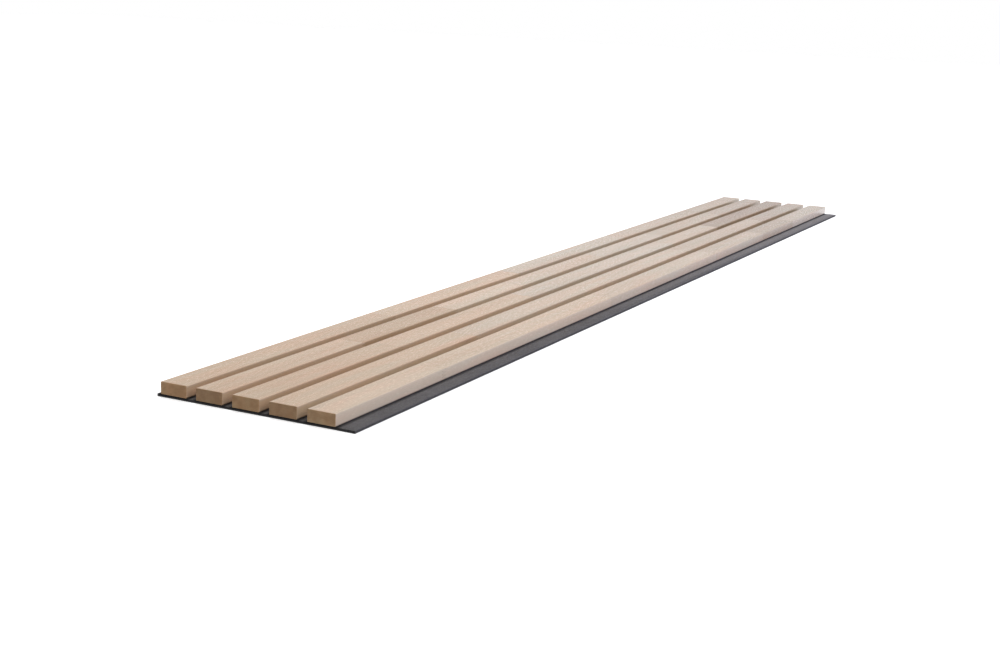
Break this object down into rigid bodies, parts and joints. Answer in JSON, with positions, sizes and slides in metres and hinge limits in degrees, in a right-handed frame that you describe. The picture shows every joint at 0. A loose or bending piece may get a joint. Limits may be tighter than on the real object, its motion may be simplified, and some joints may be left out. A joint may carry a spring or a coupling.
{
  "type": "acoustic slat wall panel",
  "caption": "Long flat wall panel of parallel hardwood slats, finger-jointed from staves and stapled to a dark felt sheet, with open slots between the slats.",
  "frame": {"origin": "middle of the felt's flat back, which is the face that goes against the wall", "axes": "+X across the slats towards the wide felt margin, +Y along the slats, +Z out of the back towards the slats' faces. On a wall +Y or +X points up and +Z into the room."},
  "size_m": [0.32, 2.4, 0.022],
  "materials": {
    "wood": "matt clear lacquer on pale close-grained hardwood",
    "felt": "dense needled felt, dark grey",
    "staple_wire": "bright zinc-coated wire"
  },
  "bodies": {
    "root": {"felt_backing": "felt", "slat_1_staples": "staple_wire", "slat_1_stave_1": "wood", "slat_1_stave_2": "wood", "slat_1_stave_3": "wood", "slat_1_stave_4": "wood", "slat_1_stave_5": "wood", "slat_2_staples": "staple_wire", "slat_2_stave_1": "wood", "slat_2_stave_2": "wood", "slat_2_stave_3": "wood", "slat_2_stave_4": "wood", "slat_2_stave_5": "wood", "slat_2_stave_6": "wood", "slat_2_stave_7": "wood", "slat_3_staples": "staple_wire", "slat_3_stave_1": "wood", "slat_3_stave_2": "wood", "slat_3_stave_3": "wood", "slat_3_stave_4": "wood", "slat_3_stave_5": "wood", "slat_3_stave_6": "wood", "slat_4_staples": "staple_wire", "slat_4_stave_1": "wood", "slat_4_stave_2": "wood", "slat_4_stave_3": "wood", "slat_4_stave_4": "wood", "slat_4_stave_5": "wood", "slat_5_staples": "staple_wire", "slat_5_stave_1": "wood", "slat_5_stave_2": "wood", "slat_5_stave_3": "wood", "slat_5_stave_4": "wood", "slat_5_stave_5": "wood", "slat_5_stave_6": "wood"}
  },
  "joints": []
}
